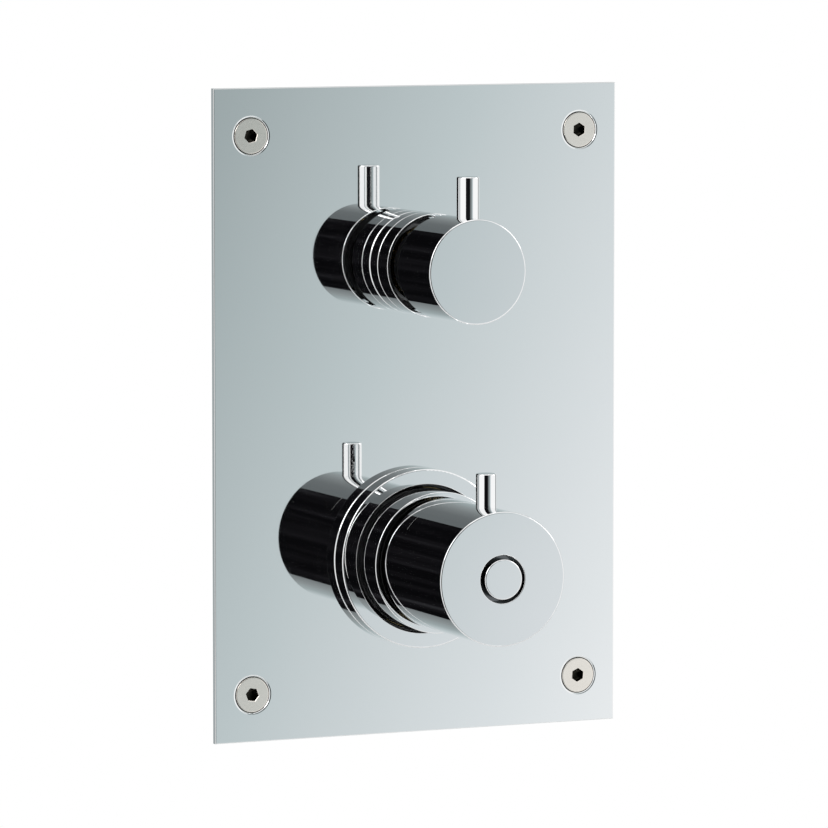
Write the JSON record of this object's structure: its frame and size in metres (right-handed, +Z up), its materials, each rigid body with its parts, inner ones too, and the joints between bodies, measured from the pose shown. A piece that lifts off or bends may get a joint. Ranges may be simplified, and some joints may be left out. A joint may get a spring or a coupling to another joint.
{
  "type": "thermostatic shower valve",
  "caption": "Concealed thermostatic shower valve: mirror-polished rectangular cover plate with a flow knob above and a temperature knob with a stop-release button below, each with a pin lever.",
  "frame": {"origin": "centre of the four wall fixing holes, in the plane of the finished wall behind the cover plate", "axes": "+X to the right seen from the room, +Y into the wall, +Z up"},
  "size_m": [0.148, 0.1368, 0.22],
  "materials": {
    "mirror_chrome": "polished mirror chrome",
    "polished_plate": "mirror-polished stainless steel",
    "nickel_screw": "satin nickel-plated",
    "cast_brass": "sand-cast, shot-blasted",
    "turned_brass": "turned",
    "steel_sheet": "brushed stainless sheet",
    "steel_wire": "drawn wire",
    "zinc_screw": "zinc-plated",
    "black_rubber": "moulded",
    "gasket_rubber": "solid moulded strip",
    "black_plastic": "moulded, glass filled",
    "white_plastic": "moulded acetal",
    "copper_capsule": "bright copper alloy",
    "ceramic": "lapped alumina ceramic"
  },
  "bodies": {
    "valve": {"face_plate": "polished_plate", "plate_screws": "nickel_screw", "plate_bushes": "turned_brass", "plate_gasket": "gasket_rubber", "wall_frame": "steel_sheet", "body_screws": "zinc_screw", "valve_body": "cast_brass", "inlet_filters": "steel_wire", "check_valve_cages": "white_plastic", "hot_poppet_spring": "steel_wire", "cold_poppet_spring": "steel_wire", "thermostat_sleeve": "turned_brass", "sleeve_rings": "black_rubber", "thermostat_end_cap": "turned_brass", "return_spring": "steel_wire", "cartridge_nut": "turned_brass", "stop_ring": "black_plastic", "temperature_flange": "mirror_chrome", "flange_ring": "black_rubber", "temperature_shroud": "mirror_chrome", "flow_base_ring": "mirror_chrome", "flow_shroud": "mirror_chrome", "flow_cartridge_body": "turned_brass", "fixed_disc": "ceramic", "flow_seat_seal": "black_rubber"},
    "temperature_knob": {"temperature_knob": "mirror_chrome", "temperature_adapter": "black_plastic", "temperature_lever": "mirror_chrome", "temperature_grub_screw": "zinc_screw", "thermo_spindle": "turned_brass", "spindle_rings": "black_rubber", "button_spring": "steel_wire"},
    "release_button": {"release_button": "mirror_chrome", "release_rod": "steel_wire"},
    "thermostat_element": {"shuttle": "turned_brass", "shuttle_ring": "black_rubber", "wax_element": "copper_capsule", "regulating_nut": "turned_brass", "overload_spring": "steel_wire", "overload_cup": "turned_brass", "overload_clip": "steel_wire"},
    "flow_knob": {"flow_knob": "mirror_chrome", "flow_adapter": "black_plastic", "flow_lever": "mirror_chrome", "flow_grub_screw": "zinc_screw", "flow_spindle": "turned_brass", "flow_spindle_rings": "black_rubber", "flow_spindle_clip": "steel_wire", "moving_disc": "ceramic"},
    "hot_poppet": {"hot_poppet": "white_plastic"},
    "cold_poppet": {"cold_poppet": "white_plastic"}
  },
  "joints": [
    {"name": "temperature_turn", "type": "hinge", "parent": "valve", "child": "temperature_knob", "pos_m": [0, 0, -0.05], "axis": [0, -1, 0], "range_deg": [-210, 0]},
    {"name": "flow_turn", "type": "hinge", "parent": "valve", "child": "flow_knob", "pos_m": [0, 0, 0.05], "axis": [0, -1, 0], "range_deg": [0, 90]},
    {"name": "stop_release_press", "type": "slide", "parent": "temperature_knob", "child": "release_button", "axis": [0, 1, 0], "range_m": [0, 0.0025], "stiffness_N_per_m": 800, "springref_m": -0.0015, "deforming": ["button_spring"]},
    {"name": "element_slide", "type": "slide", "parent": "valve", "child": "thermostat_element", "axis": [0, 1, 0], "range_m": [0, 0.00118], "deforming": ["return_spring"]},
    {"name": "hot_check_slide", "type": "slide", "parent": "valve", "child": "hot_poppet", "axis": [1, 0, 0], "range_m": [0, 0.002], "stiffness_N_per_m": 60, "springref_m": -0.002, "deforming": ["hot_poppet_spring"]},
    {"name": "cold_check_slide", "type": "slide", "parent": "valve", "child": "cold_poppet", "axis": [-1, 0, 0], "range_m": [0, 0.002], "stiffness_N_per_m": 60, "springref_m": -0.002, "deforming": ["cold_poppet_spring"]}
  ],
  "couplings": [
    {"joint": "element_slide", "follows": "temperature_turn", "m_per_rad": -0.00031831}
  ]
}
